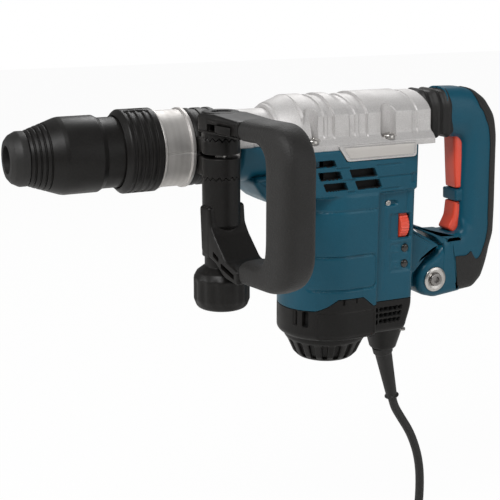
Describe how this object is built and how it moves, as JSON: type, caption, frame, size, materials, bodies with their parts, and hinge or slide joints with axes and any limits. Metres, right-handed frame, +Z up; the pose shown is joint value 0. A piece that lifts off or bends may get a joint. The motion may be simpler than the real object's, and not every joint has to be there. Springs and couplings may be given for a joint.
{
  "type": "electric jackhammer",
  "caption": "Hand-held electric chipping hammer with a quick-change tool holder, swivelling side D-handle, sprung rear D-handle, vertical motor and mains cord.",
  "frame": {"origin": "middle of the rear grip, in the plane of the barrel axis", "axes": "+X from the nose to the rear along the barrel, +Z up, the side handle on -Y"},
  "size_m": [0.4665, 0.2435, 0.487],
  "materials": {
    "blue_shell": "satin moulded nylon",
    "black_plastic": "matt moulded nylon",
    "grip_rubber": "grained soft rubber",
    "cord_jacket": "smooth rubber jacket",
    "red_plastic": "semi-gloss moulded plastic",
    "cast_aluminium": "shot-blasted casting",
    "machined_aluminium": "turned and blasted",
    "steel": "ground steel",
    "bright_steel": "bright zinc plate",
    "spring_steel": "oiled spring wire",
    "copper": "bare copper",
    "brass": "bare brass",
    "carbon": "sintered carbon",
    "label": "printed foil",
    "lens": "smoked lens"
  },
  "bodies": {
    "housing": {"motor_housing": "blue_shell", "gear_housing": "cast_aluminium", "label_plates": "label", "cover_screws": "bright_steel", "side_screws": "bright_steel", "bottom_cap": "black_plastic", "intake_grille": "black_plastic", "cap_screws": "steel", "control_module": "black_plastic", "indicator_lenses": "lens", "stator": "steel", "field_windings": "copper", "brush_holders": "brass", "carbon_brushes": "carbon", "shaft_bearings": "steel", "bearing_bridge": "cast_aluminium", "gear_plate": "cast_aluminium", "neck_tube": "cast_aluminium", "front_collar": "machined_aluminium", "hammer_tube": "steel", "damping_ring": "grip_rubber", "bellows": "grip_rubber", "handle_spring": "spring_steel", "cord_sleeve": "cord_jacket", "power_cord": "cord_jacket", "cord_coil": "cord_jacket", "plug_body": "cord_jacket", "plug_pins": "brass"},
    "tool_holder": {"tool_spindle": "steel", "dust_cap": "grip_rubber", "locking_bars": "steel", "sleeve_spring": "spring_steel", "ring_spring": "spring_steel"},
    "locking_sleeve": {"locking_sleeve": "black_plastic"},
    "setting_ring": {"setting_ring": "black_plastic"},
    "impact_bolt": {"impact_bolt": "steel"},
    "striker": {"striker": "steel"},
    "piston": {"piston": "steel", "piston_pin": "steel"},
    "connecting_rod": {"connecting_rod": "steel"},
    "crankshaft": {"crankshaft": "steel"},
    "idler_gear": {"idler_gear": "steel"},
    "armature": {"armature": "steel", "commutator": "copper", "motor_fan": "black_plastic"},
    "speed_wheel": {"speed_wheel": "red_plastic"},
    "rear_handle": {"handle_shell_left": "blue_shell", "handle_shell_right": "blue_shell", "handle_rubber": "grip_rubber", "switch_module": "black_plastic", "trigger_spring": "spring_steel", "pivot_pin": "steel", "pivot_washers": "bright_steel"},
    "trigger": {"trigger": "red_plastic"},
    "lock_lever": {"lock_lever": "red_plastic"},
    "clamp_band": {"clamp_band": "black_plastic"},
    "side_handle": {"side_handle_frame": "black_plastic", "side_grip_rubber": "grip_rubber", "handle_bolt": "bright_steel"},
    "clamp_knob": {"clamp_knob": "black_plastic"}
  },
  "joints": [
    {"name": "tool_turn", "type": "hinge", "parent": "housing", "child": "tool_holder", "pos_m": [-0.386, 0, 0.05], "axis": [1, 0, 0], "continuous": true},
    {"name": "sleeve_pull", "type": "slide", "parent": "tool_holder", "child": "locking_sleeve", "axis": [1, 0, 0], "range_m": [0, 0.008], "stiffness_N_per_m": 1500, "springref_m": -0.008, "deforming": ["sleeve_spring"]},
    {"name": "ring_shift", "type": "slide", "parent": "tool_holder", "child": "setting_ring", "axis": [1, 0, 0], "range_m": [-0.005, 0], "stiffness_N_per_m": 2000, "springref_m": 0.004, "deforming": ["ring_spring"]},
    {"name": "bolt_slide", "type": "slide", "parent": "tool_holder", "child": "impact_bolt", "axis": [1, 0, 0], "range_m": [0, 0.008]},
    {"name": "striker_slide", "type": "slide", "parent": "housing", "child": "striker", "axis": [1, 0, 0], "range_m": [0, 0.02]},
    {"name": "piston_slide", "type": "slide", "parent": "housing", "child": "piston", "axis": [1, 0, 0], "range_m": [0, 0.024]},
    {"name": "rod_swing", "type": "hinge", "parent": "piston", "child": "connecting_rod", "pos_m": [-0.196, 0, 0.05], "axis": [0, 0, 1], "range_deg": [-11, 11]},
    {"name": "armature_spin", "type": "hinge", "parent": "housing", "child": "armature", "pos_m": [-0.159, 0, -0.05], "axis": [0, 0, 1], "continuous": true},
    {"name": "idler_spin", "type": "hinge", "parent": "housing", "child": "idler_gear", "pos_m": [-0.14658, 0.01568, 0.01], "axis": [0, 0, 1], "continuous": true},
    {"name": "crank_spin", "type": "hinge", "parent": "housing", "child": "crankshaft", "pos_m": [-0.121, 0, 0.02], "axis": [0, 0, 1], "continuous": true},
    {"name": "speed_turn", "type": "hinge", "parent": "housing", "child": "speed_wheel", "pos_m": [-0.1013, -0.0272, -0.029], "axis": [1, 0, 0], "range_deg": [0, 270]},
    {"name": "handle_pivot", "type": "hinge", "parent": "housing", "child": "rear_handle", "pos_m": [-0.052, 0, -0.089], "axis": [0, 1, 0], "range_deg": [-1.5, 0.5], "stiffness_Nm_per_rad": 150, "deforming": ["bellows", "handle_spring"]},
    {"name": "trigger_pull", "type": "hinge", "parent": "rear_handle", "child": "trigger", "pos_m": [-0.025, 0, 0.042], "axis": [0, 1, 0], "range_deg": [-4, 0], "stiffness_Nm_per_rad": 4, "springref_deg": 3.44, "deforming": ["trigger_spring"]},
    {"name": "lock_pull", "type": "hinge", "parent": "rear_handle", "child": "lock_lever", "pos_m": [-0.024, 0, -0.022], "axis": [0, 1, 0], "range_deg": [-5, 0], "stiffness_Nm_per_rad": 3, "springref_deg": 3.44},
    {"name": "clamp_turn", "type": "hinge", "parent": "housing", "child": "clamp_band", "pos_m": [-0.2855, 0, 0.05], "axis": [1, 0, 0], "continuous": true},
    {"name": "side_swing", "type": "hinge", "parent": "clamp_band", "child": "side_handle", "pos_m": [-0.2855, -0.048, 0.05], "axis": [0, 0, 1], "range_deg": [-60, 20]},
    {"name": "knob_turn", "type": "hinge", "parent": "side_handle", "child": "clamp_knob", "pos_m": [-0.2855, -0.048, -0.05], "axis": [0, 0, 1], "range_deg": [0, 720]}
  ],
  "couplings": [
    {"joint": "idler_spin", "follows": "armature_spin", "ratio": -0.33333},
    {"joint": "crank_spin", "follows": "armature_spin", "ratio": 0.083333}
  ]
}
